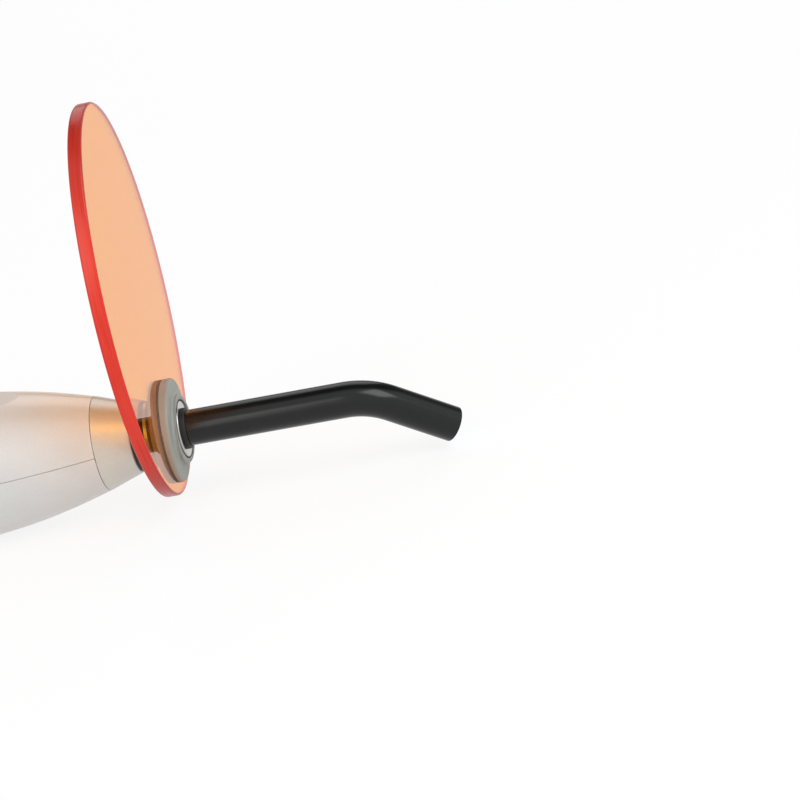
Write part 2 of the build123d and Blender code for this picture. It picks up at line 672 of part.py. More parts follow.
# ---------------------------------------------------------------- battery
def battery_cell():
    button_h, button_d = CELL_BUTTON
    can_front = CELL_FRONT_X - button_h
    can = fillet(tube(CELL_BACK_X, can_front, CELL_D).edges().filter_by(GeomType.CIRCLE), 0.8)
    return Pos(0, 0, CELL_Z) * (can + tube(can_front - 1, CELL_FRONT_X, button_d))


def battery_cradle():
    """An open trough under the cell, with a wall at each end and two feet on the handle's floor."""
    back, front = CRADLE_WALL_X
    trough = tube(back, front, CRADLE_D, CELL_D + 2 * EASE)
    trough += tube(back - CRADLE_WALL, back, CRADLE_D) + tube(front, front + CRADLE_WALL, CRADLE_D)
    trough &= block(back - 5, front + 5, 40, -20, 0)
    trough = Pos(0, 0, CELL_Z) * trough
    top = CELL_Z - CELL_D / 2 - EASE - CRADLE_WALL / 2
    feet = [block(x - 1.5, x + 1.5, CRADLE_FOOT_W, -HANDLE_END_R * 2, top) for x in (back + 6.0, front - 6.0)]
    return trough + [foot & handle_hollow() for foot in feet]


def battery_contacts():
    """A bent leaf at each end of the cell, between the cell and the cradle's wall."""
    leaves = []
    for wall_x, cell_x in zip(CRADLE_WALL_X, (CELL_BACK_X, CELL_FRONT_X)):
        towards = math.copysign(1, cell_x - wall_x)
        back = block(wall_x, wall_x + towards * LEAF_T, 6.0, CELL_Z - 7.0, CELL_Z + 8.0)
        tongue = block(wall_x + towards * LEAF_T, cell_x, 3.0, CELL_Z - LEAF_T, CELL_Z + LEAF_T)
        leaves.append(back + tongue)
    return leaves


def battery_wires():
    """Two wires from the front of the cradle up to the board."""
    start_x = CRADLE_WALL_X[1] + CRADLE_WALL
    up_x = start_x + 3.0
    return [wire((start_x, y, CELL_Z - 3), (up_x, y, CELL_Z - 3), (up_x, y, PCB_BOTTOM_Z), bend=1.8)
            for y in (-5.0, 5.0)]


# ---------------------------------------------------------------- write the pieces
NODES = {
    "guide_rod": guide_rod, "guide_core": guide_core, "guide_ferrule": guide_ferrule,
    "guide_o_rings": guide_o_rings, "ferrule_collar": ferrule_collar, "rod_lip": rod_lip,
    "eye_shield": eye_shield, "shield_grommet": shield_grommet,
    "nose_ring": nose_ring, "nose_seal": nose_seal, "swivel_sleeve": swivel_sleeve,
    "led_lens": led_lens, "lens_retainer": lens_retainer, "led_emitter": led_emitter,
    "led_board": led_board, "led_screws": led_screws, "heat_sink": heat_sink,
    "upper_shell": upper_shell, "lower_shell": lower_shell, "rest_pad": rest_pad, "case_screws": case_screws,
    "rear_cap": rear_cap, "charge_contacts": charge_contacts,
    "control_panel": control_panel,
    "start_button": lambda: key_cap("start"), "mode_button": lambda: key_cap("mode"),
    "timer_button": lambda: key_cap("timer"),
    "start_plunger": lambda: key_plunger("start"), "mode_plunger": lambda: key_plunger("mode"),
    "timer_plunger": lambda: key_plunger("timer"),
    "switch_bodies": switch_bodies, "display_window": display_window, "display_module": display_module,
    "indicator_pipes": indicator_pipes, "indicator_leds": indicator_leds,
    "control_board": control_board, "board_screws": board_screws, "board_chips": board_chips, "buzzer": buzzer,
    "led_wires": led_wires, "battery_cell": battery_cell, "battery_cradle": battery_cradle,
    "battery_contacts": battery_contacts, "battery_wires": battery_wires,
}


def placed(shape):
    """The piece's solids in the part's own frame, as one compound."""
    pieces = shape if isinstance(shape, list) else [shape]
    return Compound([TO_TABLE * solid for piece in pieces for solid in piece.solids()])


os.makedirs("parts", exist_ok=True)
for node, make in NODES.items():
    export_step(placed(make()), f"parts/{node}.step")
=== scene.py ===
# %% [markdown]
# A cordless dental curing light: a pearl-white handle, a satin metal nose, a black light guide bent near
# its tip, and an orange oval eye shield on a grey rubber grommet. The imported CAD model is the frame. It
# says where every piece is, so nothing here is moved to fit.

# %% Load the frame
import json
import math

import bpy
import numpy as np
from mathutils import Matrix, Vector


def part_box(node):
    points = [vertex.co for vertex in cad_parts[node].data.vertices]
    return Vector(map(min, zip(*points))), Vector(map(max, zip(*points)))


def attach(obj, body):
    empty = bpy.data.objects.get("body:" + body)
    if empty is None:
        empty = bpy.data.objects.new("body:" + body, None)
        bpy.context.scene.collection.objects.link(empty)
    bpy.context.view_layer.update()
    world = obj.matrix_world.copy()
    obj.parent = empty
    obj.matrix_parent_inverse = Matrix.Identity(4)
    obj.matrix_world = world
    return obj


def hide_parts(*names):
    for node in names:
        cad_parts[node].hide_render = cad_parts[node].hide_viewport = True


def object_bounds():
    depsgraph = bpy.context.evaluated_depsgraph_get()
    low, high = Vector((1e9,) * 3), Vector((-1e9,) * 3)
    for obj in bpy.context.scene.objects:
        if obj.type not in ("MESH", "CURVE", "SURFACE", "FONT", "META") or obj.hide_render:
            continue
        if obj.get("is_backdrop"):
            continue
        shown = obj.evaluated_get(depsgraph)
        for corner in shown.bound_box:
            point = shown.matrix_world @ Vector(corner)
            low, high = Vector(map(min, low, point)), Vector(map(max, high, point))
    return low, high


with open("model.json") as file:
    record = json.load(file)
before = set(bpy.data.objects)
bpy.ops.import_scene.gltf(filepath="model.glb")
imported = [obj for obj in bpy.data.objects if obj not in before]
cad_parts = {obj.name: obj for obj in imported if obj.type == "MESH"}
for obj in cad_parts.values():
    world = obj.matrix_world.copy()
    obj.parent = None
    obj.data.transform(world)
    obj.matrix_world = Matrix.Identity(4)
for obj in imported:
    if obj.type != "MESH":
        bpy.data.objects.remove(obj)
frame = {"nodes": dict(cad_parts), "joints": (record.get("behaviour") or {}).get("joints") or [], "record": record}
cad_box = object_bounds()

# %% [markdown]
# Every turned piece is drawn in millimetres round one line: the axis of the light guide. Along it, 0 is the
# front face of the shield and + is towards the tip. The guide's turning joint says where that line is.

# %% Where the guide's axis is
MM = 0.001
guide_turn = next(joint for joint in frame["joints"] if joint["name"] == "guide_turn")
shield_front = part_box("eye_shield")[1].x
ORIGIN = np.array([shield_front, *guide_turn["pos_m"][1:]])


def extent(node):
    """A CAD node's lowest and highest corner, in millimetres from the middle of the shield's front face."""
    low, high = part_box(node)
    return (np.array(low) - ORIGIN) / MM, (np.array(high) - ORIGIN) / MM


print("guide axis passes through", ORIGIN.round(4), "metres;", round(ORIGIN[2] / MM, 2), "mm above the floor")

# %% [markdown]
# ## Tools for surfaces
# A moulded or turned piece is a grid: rows follow its section and columns go round it. Real edges are never
# knife-sharp, so each corner of a section becomes a short curve. A guard point just before and after each
# curve keeps the shading of the flat stretches flat.


# %% Sections with soft corners
def softened(corners, radius, steps=5):
    """A closed section with its corners rounded.

    Each corner c becomes the curve (1-t)^2 a + 2t(1-t) c + t^2 b, where a and b lie one radius before and
    after it. radius is one number, or one for each corner.
    """
    corner = np.asarray(corners, float)
    to_last, to_next = np.roll(corner, 1, 0) - corner, np.roll(corner, -1, 0) - corner
    last_length = np.linalg.norm(to_last, axis=1, keepdims=True)
    next_length = np.linalg.norm(to_next, axis=1, keepdims=True)
    wanted = np.broadcast_to(np.asarray(radius, float), len(corner))[:, None]
    reach = np.minimum(wanted, 0.4 * np.minimum(last_length, next_length))
    before, after = corner + to_last / last_length * reach, corner + to_next / next_length * reach
    t = np.linspace(0, 1, steps)[None, :, None]
    curve = (1 - t) ** 2 * before[:, None] + 2 * t * (1 - t) * corner[:, None] + t ** 2 * after[:, None]
    guard = 0.2
    first = (corner + to_last / last_length * reach * (1 + guard))[:, None]
    last = (corner + to_next / next_length * reach * (1 + guard))[:, None]
    return np.concatenate([first, curve, last], axis=1).reshape(-1, 2)


def filled_in(section, step):
    """The same closed section with extra rows, so that no two neighbours are further apart than step."""
    loop = np.vstack([section, section[:1]])
    length = np.concatenate([[0], np.cumsum(np.linalg.norm(np.diff(loop, axis=0), axis=1))])
    places = np.unique(np.concatenate([length, np.arange(0, length[-1], step)]).round(6))[:-1]
    return np.stack([np.interp(places, length, loop[:, axis]) for axis in range(2)], axis=1)


def ring_quads(rows, columns):
    """The quads of a grid that closes on itself both ways, like the skin of a ring."""
    row, column = np.meshgrid(np.arange(rows), np.arange(columns), indexing="ij")
    next_row, next_column = (row + 1) % rows, (column + 1) % columns
    corners = [row * columns + column, next_row * columns + column,
               next_row * columns + next_column, row * columns + next_column]
    return np.stack(corners, axis=-1).reshape(-1, 4)


def bar_quads(rows, columns):
    """The quads of a grid that closes only round its columns, like the side of a bar."""
    quads = ring_quads(rows, columns)
    return quads[:(rows - 1) * columns]


square = [(0, 1), (1, 1), (1, 2), (0, 2)]
print("a square section with soft corners has", len(softened(square, 0.1)), "rows")

# %% [markdown]
# A surface becomes an object here. The object stays at the origin with its place in its vertices, as the
# CAD nodes are, so a pattern on Object coordinates sits still. A closed surface's volume, added up from its
# corners, tells whether its faces point out.


# %% From arrays to pieces
def outward(points, faces):
    """The faces, turned round if the volume they enclose, the sum of a . (b x c) / 6, is negative."""
    a, b, c = (points[faces[:, k]] for k in (0, 1, 2))
    volume = np.einsum("ij,ij->", a, np.cross(b, c))
    if faces.shape[1] == 4:
        volume += np.einsum("ij,ij->", a, np.cross(c, points[faces[:, 3]]))
    return faces if volume > 0 else faces[:, ::-1]


def make_piece(name, points, faces, material, body, crease=40):
    """A mesh from points in millimetres round the guide's axis, which rides on a CAD body."""
    if not isinstance(faces, list):
        faces = outward(points, faces).tolist()
    mesh = bpy.data.meshes.new(name)
    mesh.from_pydata(ORIGIN + points * MM, [], faces)
    mesh.polygons.foreach_set("use_smooth", np.ones(len(mesh.polygons), bool))
    mesh.set_sharp_from_angle(angle=math.radians(crease))
    mesh.materials.append(material)
    made = bpy.data.objects.new(name, mesh)
    bpy.context.scene.collection.objects.link(made)
    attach(made, body)
    print(name, "has", len(mesh.vertices), "vertices and rides on", body)
    return made


TURNED_COLUMNS = 160


def spun(section, columns=TURNED_COLUMNS):
    """A section of (x, r) rows turned round the axis: each point is (x, r cos a, r sin a)."""
    angle = np.linspace(0, 2 * math.pi, columns, endpoint=False)
    x, r = (section[:, k, None] * np.ones(columns) for k in (0, 1))
    return np.stack([x, r * np.cos(angle), r * np.sin(angle)], axis=-1).reshape(-1, 3)


def stand_for(made, node):
    """The piece is shown in place of its CAD node, which is hidden."""
    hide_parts(node)
    return made


# %% [markdown]
# ## Tools for finishes
# A finish is a small tree of nodes round one Principled shader. Colour drifts a little, roughness varies,
# and a bump gives the grain of the mould or the lathe. Patterns are measured in real millimetres on Object
# coordinates.


# %% Node helpers
def srgb(red, green, blue):
    """A colour given as it looks on a screen, from 0 to 255, as the linear one that shaders add up."""
    part = np.array([red, green, blue]) / 255
    linear = np.where(part <= 0.04045, part / 12.92, ((part + 0.055) / 1.055) ** 2.4)
    return (*linear.tolist(), 1.0)


def add(tree, kind, inputs=None, **settings):
    """One node. An input that is given a socket is linked to it, and any other is set."""
    made = tree.nodes.new("ShaderNode" + kind)
    for name, value in settings.items():
        setattr(made, name, value)
    for name, value in (inputs or {}).items():
        if isinstance(value, bpy.types.NodeSocket):
            tree.links.new(value, made.inputs[name])
        else:
            made.inputs[name].default_value = value
    return made


finishes = {}


def new_finish(name, **sockets):
    """A new material's tree and its Principled shader, with the shader's own sockets set.

    The material itself is kept in finishes under its name, where the pieces find it.
    """
    material = finishes[name] = bpy.data.materials.new(name)
    material.use_nodes = True
    shader = material.node_tree.nodes["Principled BSDF"]
    for socket, value in sockets.items():
        shader.inputs[socket.replace("_", " ")].default_value = value
    return material.node_tree, shader


def pattern_place(tree, stretch=(1, 1, 1)):
    """Object coordinates measured from the guide's axis in millimetres, with each direction stretched."""
    place = add(tree, "TexCoord").outputs["Object"]
    scale = [1 / (MM * part) for part in stretch]
    shift = [-centre * part for centre, part in zip(ORIGIN, scale)]
    return add(tree, "Mapping", {"Vector": place, "Location": shift, "Scale": scale}).outputs["Vector"]


def noise(tree, place, size, detail=3.0):
    """Cloudy noise from 0 to 1 whose features are about size millimetres wide."""
    return add(tree, "TexNoise", {"Vector": place, "Scale": 1 / size, "Detail": detail}).outputs["Fac"]


def between(tree, factor, low, high):
    """A number that runs from low to high as factor runs from 0 to 1."""
    return add(tree, "MapRange", {"Value": factor, "To Min": low, "To Max": high}).outputs["Result"]


def drift(tree, factor, first, second, start=0.3, end=0.7):
    """A colour that runs from the first to the second as factor runs from start to end."""
    ramp = add(tree, "ValToRGB", {"Fac": factor})
    for element, place, colour in zip(ramp.color_ramp.elements, (start, end), (first, second)):
        element.position, element.color = place, colour
    return ramp.outputs["Color"]


def link(tree, source, shader, socket):
    tree.links.new(source, shader.inputs[socket])


def bump(tree, shader, height, depth):
    """Surface relief of depth millimetres from a height that runs from 0 to 1."""
    relief = add(tree, "Bump", {"Height": height, "Distance": depth * MM})
    link(tree, relief.outputs["Normal"], shader, "Normal")


def radius_of(tree, place):
    """The distance from the guide's axis, for patterns left by a lathe."""
    flat = add(tree, "VectorMath", {0: place, 1: (0, 1, 1)}, operation="MULTIPLY").outputs["Vector"]
    return add(tree, "VectorMath", {0: flat}, operation="LENGTH").outputs["Value"]


def sum_of(tree, first, second, operation="ADD"):
    """Two numbers put together by a Math node."""
    return add(tree, "Math", {0: first, 1: second}, operation=operation).outputs["Value"]


# %% [markdown]
# Most pieces are moulded plastic, rubber or turned metal, which differ only in a few numbers, so two makers
# cover them: moulded (two close colours and the mould's grain) and lathe-turned (rings left by the lathe,
# on metal). The rest have their own trees further down.


# %% Moulded and turned finishes
def moulded(name, colour, second, roughness, grain=0.35, depth=0.004, cloud=9.0, **sockets):
    """Plastic or rubber: slow colour drift, roughness that varies a little, and the grain of the mould."""
    tree, shader = new_finish(name, **sockets)
    place = pattern_place(tree)
    slow, fine = noise(tree, place, cloud), noise(tree, place, grain, detail=4.0)
    link(tree, drift(tree, slow, colour, second), shader, "Base Color")
    link(tree, between(tree, fine, roughness * 0.85, min(1.0, roughness * 1.2)), shader, "Roughness")
    bump(tree, shader, fine, depth)


def lathe_turned(name, colour, second, roughness, pitch=0.09, depth=0.0015):
    """Turned metal: fine rings, read from the distance along the axis plus the distance from it."""
    tree, shader = new_finish(name, Metallic=1.0)
    place = pattern_place(tree)
    along = add(tree, "SeparateXYZ", {"Vector": place}).outputs["X"]
    turn = sum_of(tree, along, radius_of(tree, place))
    rings = noise(tree, add(tree, "CombineXYZ", {"X": turn}).outputs["Vector"], pitch, detail=2.0)
    slow = noise(tree, place, 6.0)
    shade = sum_of(tree, slow, rings, "MULTIPLY")
    link(tree, drift(tree, shade, second, colour, 0.1, 0.45), shader, "Base Color")
    link(tree, between(tree, rings, roughness * 0.8, roughness * 1.25), shader, "Roughness")
    bump(tree, shader, rings, depth)


# %% [markdown]
# ### Pearl plastic and the satin nose
# The handle is a pearl-white plastic: a pale base under a thin clear coat, with fine flakes that catch the
# light at slightly different angles. Voronoi cells a tenth of a millimetre wide give each flake its own
# brightness. The nose is satin metal with the same silver tone.


# %% Pearl and satin finishes
def flaked(name, colour, flake_colour, roughness, flake=0.12, **sockets):
    """A base colour sown with flakes: each Voronoi cell gets a random share of the flake colour."""
    tree, shader = new_finish(name, **sockets)
    place = pattern_place(tree)
    cells = add(tree, "TexVoronoi", {"Vector": place, "Scale": 1 / flake})
    sparkle = add(tree, "SeparateColor", {"Color": cells.outputs["Color"]}).outputs["Red"]
    slow = noise(tree, place, 14.0, detail=2.0)
    mixed = sum_of(tree, sum_of(tree, sparkle, 0.35, "MULTIPLY"), sum_of(tree, slow, 0.65, "MULTIPLY"))
    link(tree, drift(tree, mixed, colour, flake_colour, 0.2, 0.8), shader, "Base Color")
    link(tree, between(tree, sparkle, roughness * 0.85, roughness * 1.15), shader, "Roughness")
    bump(tree, shader, noise(tree, place, 0.9, detail=2.0), 0.003)


flaked("pearl_plastic", srgb(217, 219, 219), srgb(229, 231, 231), 0.36,
       Metallic=0.12, Coat_Weight=0.35, Coat_Roughness=0.12)
flaked("nose_metal", srgb(204, 203, 196), srgb(219, 218, 212), 0.36,
       Metallic=0.55, Coat_Weight=0.15, Coat_Roughness=0.2)
print("pearl and satin finishes ready")

# %% [markdown]
# ### Orange acrylic
# The shield is cast acrylic, 3 mm thick, tinted orange to stop blue light. Through its face it looks pale
# orange, because the light crosses only 3 mm of it, and along its rim it looks deep red, because that light
# has travelled the width of the plate and then scatters where the rim was cut. Glass with absorption inside
# gives the first, and the rim has its own red finish. Lamps are let through with a coloured transparent
# shader, so the nose behind the plate gets its orange patch of light.


# %% Orange acrylic
# Painted shade on the rim: none at the first height, in millimetres above the guide's axis. It sets in at half the
# second distance above or below that and is full at the whole of it.
RIM_UNSHADED_Z, RIM_SHADE_REACH = 33.0, 44.0


def let_lamps_through(tree, shader, tint):
    """Shadow rays see a coloured transparent surface, and all others see the shader."""
    path = add(tree, "LightPath")
    clear = add(tree, "BsdfTransparent", {"Color": tint})
    mix = add(tree, "MixShader", {0: path.outputs["Is Shadow Ray"], 1: shader.outputs["BSDF"],
                                  2: clear.outputs["BSDF"]})
    tree.links.new(mix.outputs["Shader"], tree.nodes["Material Output"].inputs["Surface"])


def orange_acrylic_finish():
    tree, shader = new_finish("orange_acrylic", Transmission_Weight=1.0, IOR=1.49)
    place = pattern_place(tree)
    slow = noise(tree, place, 25.0, detail=1.0)
    link(tree, drift(tree, slow, (1.0, 0.66, 0.22, 1), (1.0, 0.70, 0.25, 1)), shader, "Base Color")
    smear = noise(tree, pattern_place(tree, (1, 3, 1)), 4.0, detail=5.0)
    link(tree, between(tree, smear, 0.0, 0.035), shader, "Roughness")
    bump(tree, shader, noise(tree, place, 30.0, detail=0.0), 0.02)
    inside = add(tree, "VolumeAbsorption", {"Color": (0.998, 0.77, 0.02, 1), "Density": 560.0})
    tree.links.new(inside.outputs["Volume"], tree.nodes["Material Output"].inputs["Volume"])
    let_lamps_through(tree, shader, (0.84, 0.77, 0.53, 1))


def rim_finish():
    """The rim, where light gathered in the plate comes out red, with streaks from sawing and polishing.

    Its top and bottom are darkened with painted shade. Seen from inside the plate it is a clear red film.
    """
    tree, shader = new_finish("orange_rim", Coat_Weight=0.15, Coat_Roughness=0.12, Specular_IOR_Level=0.25)
    streaks = noise(tree, pattern_place(tree, (0.5, 14, 14)), 1.0, detail=3.0)
    slow = noise(tree, pattern_place(tree), 12.0, detail=2.0)
    mixed = sum_of(tree, sum_of(tree, streaks, 0.6, "MULTIPLY"), sum_of(tree, slow, 0.4, "MULTIPLY"))
    shade = drift(tree, mixed, srgb(224, 42, 26), srgb(240, 66, 44))
    # Painted shade: the red is multiplied by a grey-blue that deepens with the distance above or below one height,
    # so the rim's top and bottom look shaded.
    height = add(tree, "SeparateXYZ", {"Vector": pattern_place(tree)}).outputs["Z"]
    above_middle = sum_of(tree, height, RIM_UNSHADED_Z, "SUBTRACT")
    from_middle = add(tree, "Math", {0: above_middle}, operation="ABSOLUTE").outputs["Value"]
    darker = drift(tree, sum_of(tree, from_middle, 1 / RIM_SHADE_REACH, "MULTIPLY"),
                   (1, 1, 1, 1), (0.55, 0.6, 0.65, 1), 0.5, 1.0)
    shade = add(tree, "VectorMath", {0: shade, 1: darker}, operation="MULTIPLY").outputs["Vector"]
    link(tree, shade, shader, "Base Color")
    link(tree, between(tree, streaks, 0.2, 0.4), shader, "Roughness")
    bump(tree, shader, streaks, 0.01)
    film = add(tree, "BsdfTransparent", {"Color": (1.0, 0.68, 0.38, 1)})
    inside = add(tree, "NewGeometry").outputs["Backfacing"]
    mix = add(tree, "MixShader", {0: inside, 1: shader.outputs["BSDF"], 2: film.outputs["BSDF"]})
    tree.links.new(mix.outputs["Shader"], tree.nodes["Material Output"].inputs["Surface"])


orange_acrylic_finish()
rim_finish()
print("orange acrylic and its rim ready")

# %% [markdown]
# ### Black sheath and glass core
# The guide's sheath is polished black, so nearly all that is seen of it is reflection. Only a faint
# unevenness in the polish keeps it from looking like a mirror. Its core is a bundle of fused fibres: at the
# tip they show as a fine honeycomb, lit blue from the lamp at the other end.


# %% Sheath and core finishes
FIBRE_WIDTH, FIBRE_GLOW = 0.16, 1.3


def sheath_finish():
    tree, shader = new_finish("guide_sheath", IOR=1.45, Specular_IOR_Level=0.45)
    place = pattern_place(tree)
    slow, fine = noise(tree, place, 7.0), noise(tree, place, 0.25, detail=5.0)
    link(tree, drift(tree, slow, srgb(9, 11, 11), srgb(14, 16, 16)), shader, "Base Color")
    link(tree, between(tree, fine, 0.15, 0.24), shader, "Roughness")
    bump(tree, shader, noise(tree, place, 1.6, detail=2.0), 0.006)


def fibre_finish():
    """Glass that glows at its ends: the mesh's own 'lit' attribute is 1 there and 0 along the sides."""
    tree, shader = new_finish("fibre_glass", Roughness=0.12, IOR=1.56, Coat_Weight=0.4)
    place = pattern_place(tree)
    fibres = add(tree, "TexVoronoi", {"Vector": place, "Scale": 1 / FIBRE_WIDTH})
    edge = add(tree, "TexVoronoi", {"Vector": place, "Scale": 1 / FIBRE_WIDTH}, feature="DISTANCE_TO_EDGE")
    shade = add(tree, "SeparateColor", {"Color": fibres.outputs["Color"]}).outputs["Green"]
    wall = between(tree, sum_of(tree, edge.outputs["Distance"], 6.0, "MULTIPLY"), 0.35, 1.0)
    link(tree, drift(tree, shade, srgb(150, 190, 214), srgb(205, 226, 236), 0.0, 1.0), shader, "Base Color")
    lit = add(tree, "Attribute", attribute_name="lit").outputs["Fac"]
    glow = sum_of(tree, sum_of(tree, lit, wall, "MULTIPLY"), between(tree, shade, 0.6, 1.0), "MULTIPLY")
    link(tree, sum_of(tree, glow, FIBRE_GLOW, "MULTIPLY"), shader, "Emission Strength")
    blue = drift(tree, shade, srgb(40, 120, 255), srgb(96, 186, 255), 0.0, 1.0)
    link(tree, blue, shader, "Emission Color")
    bump(tree, shader, wall, 0.004)


sheath_finish()
fibre_finish()
print("sheath and core finishes ready")

# %% [markdown]
# ### Rubber, steel and the plain plastics


# %% The other finishes
moulded("grey_rubber", srgb(158, 161, 153), srgb(168, 171, 163), 0.55, grain=0.3, depth=0.006)
moulded("black_rubber", srgb(20, 20, 21), srgb(27, 27, 28), 0.5, grain=0.2, depth=0.006)
moulded("black_plastic", srgb(24, 24, 26), srgb(31, 31, 33), 0.42)
moulded("panel_grey", srgb(122, 127, 131), srgb(132, 137, 141), 0.46, grain=0.25, depth=0.008)
moulded("key_blue", srgb(34, 92, 150), srgb(40, 102, 163), 0.34, depth=0.003, Coat_Weight=0.2)
moulded("key_grey", srgb(196, 198, 199), srgb(206, 208, 209), 0.38, depth=0.003)
lathe_turned("ferrule_steel", srgb(208, 205, 200), srgb(176, 173, 168), 0.24)
lathe_turned("sink_aluminium", srgb(198, 201, 204), srgb(160, 163, 167), 0.34, pitch=0.15)
lathe_turned("screw_steel", srgb(176, 176, 174), srgb(134, 134, 132), 0.3, pitch=0.12)
lathe_turned("contact_gold", srgb(232, 196, 120), srgb(200, 158, 84), 0.25, pitch=0.12)


# %% [markdown]
# Glass pieces carry a faint tint and let lamps through. The smoked window is dark, so that the display
# behind it doesn't show while it is off.


# %% Glass finishes
def clear_finish(name, tint, lamp_tint, roughness):
    tree, shader = new_finish(name, Transmission_Weight=1.0, IOR=1.5)
    place = pattern_place(tree)
    link(tree, drift(tree, noise(tree, place, 5.0), tint, lamp_tint), shader, "Base Color")
    smear = noise(tree, place, 0.8)
    link(tree, between(tree, smear, roughness * 0.5, roughness * 1.5), shader, "Roughness")
    let_lamps_through(tree, shader, lamp_tint)


clear_finish("lens_glass", (0.93, 0.96, 0.97, 1), (0.96, 0.98, 0.99, 1), 0.02)
clear_finish("smoked_window", (0.10, 0.11, 0.12, 1), (0.14, 0.15, 0.16, 1), 0.06)
clear_finish("indicator_clear", (0.80, 0.88, 0.86, 1), (0.88, 0.94, 0.92, 1), 0.12)


# %% [markdown]
# The control board has a green mask over copper: a brick pattern of thin lines stands for its tracks, with
# the copper shining through. The battery is a shrink-wrapped steel can, bare at its ends.


# %% Board, battery, ceramic and wires
BARE_FRONT, BARE_BACK = 2.0, 1.0


def board_finish():
    tree, shader = new_finish("board_green", Coat_Weight=0.5, Coat_Roughness=0.15)
    place = pattern_place(tree)
    tracks = add(tree, "TexBrick", {"Vector": place, "Scale": 0.9, "Mortar Size": 0.06,
                                    "Mortar Smooth": 0.2, "Brick Width": 2.6, "Row Height": 0.9},
                 offset=0.35).outputs["Fac"]
    grain = noise(tree, place, 0.3)
    shade = sum_of(tree, sum_of(tree, tracks, 0.7, "MULTIPLY"), sum_of(tree, grain, 0.3, "MULTIPLY"))
    link(tree, drift(tree, shade, srgb(14, 74, 46), srgb(74, 132, 74), 0.2, 0.85), shader, "Base Color")
    link(tree, between(tree, grain, 0.3, 0.45), shader, "Roughness")
    bump(tree, shader, tracks, 0.03)


def cell_finish():
    """Shrink wrap along the can, and bare steel at its ends, chosen by the distance along the axis."""
    tree, shader = new_finish("cell_wrap", Coat_Weight=0.3)
    place = pattern_place(tree)
    low, high = extent("battery_cell")
    along = add(tree, "SeparateXYZ", {"Vector": place}).outputs["X"]
    front = sum_of(tree, along, high[0] - BARE_FRONT, "GREATER_THAN")
    back = sum_of(tree, along, low[0] + BARE_BACK, "LESS_THAN")
    bare = sum_of(tree, front, back, "MAXIMUM")
    wrinkle = noise(tree, pattern_place(tree, (0.4, 2, 2)), 2.0, detail=4.0)
    link(tree, drift(tree, bare, srgb(46, 92, 120), srgb(190, 190, 188), 0.4, 0.6), shader, "Base Color")
    link(tree, bare, shader, "Metallic")
    link(tree, between(tree, wrinkle, 0.22, 0.42), shader, "Roughness")
    bump(tree, shader, wrinkle, 0.05)


def wire_finish():
    """Insulation that is red on one side of the handle and black on the other."""
    tree, shader = new_finish("wire_red")
    place = pattern_place(tree)
    side = add(tree, "SeparateXYZ", {"Vector": place}).outputs["Y"]
    positive = sum_of(tree, side, 0.0, "GREATER_THAN")
    link(tree, drift(tree, positive, srgb(26, 26, 28), srgb(176, 30, 30), 0.4, 0.6), shader, "Base Color")
    grain = noise(tree, place, 0.4)
    link(tree, between(tree, grain, 0.35, 0.5), shader, "Roughness")
    bump(tree, shader, grain, 0.008)


def ceramic_finish():
    """White ceramic with fine speckle."""
    tree, shader = new_finish("led_ceramic", Subsurface_Weight=0.05, Coat_Weight=0.3)
    place = pattern_place(tree)
    speckle = noise(tree, place, 0.12, detail=5.0)
    link(tree, drift(tree, speckle, srgb(226, 224, 210), srgb(240, 238, 228)), shader, "Base Color")
    link(tree, between(tree, speckle, 0.25, 0.4), shader, "Roughness")
    bump(tree, shader, speckle, 0.004)


board_finish()
cell_finish()
wire_finish()
ceramic_finish()

# %% [markdown]
# ## Finishes for the carried-over CAD nodes
# The record says which finish each node has. Every node gets the material of that name, also inside the
# handle, where the pieces show as soon as the shells are hidden.

# %% Paint the CAD nodes
for part in frame["record"]["subparts"]:
    cad_mesh = frame["nodes"][part["node"]].data
    cad_mesh.materials.clear()
    cad_mesh.materials.append(finishes[part["material_slot"]])

# %% [markdown]
# ## The eye shield
# A flat oval plate with a polished, slightly rounded rim and a hole for the grommet, which isn't in its
# middle. A boolean would leave a fan of thin triangles between rim and hole, and their shading would show
# in clear plastic. Here every column runs from the hole to the rim along a ray from the hole's middle, so
# the grid stays even.

# %% Build the shield
SHIELD_RIM_RADIUS = 0.5
SHIELD_HOLE_RADIUS = 6.55
SHIELD_COLUMNS = 320
FACE_ROWS, RIM_CURVE_ROWS = 8, 7
GUARD_SHARE = 0.006


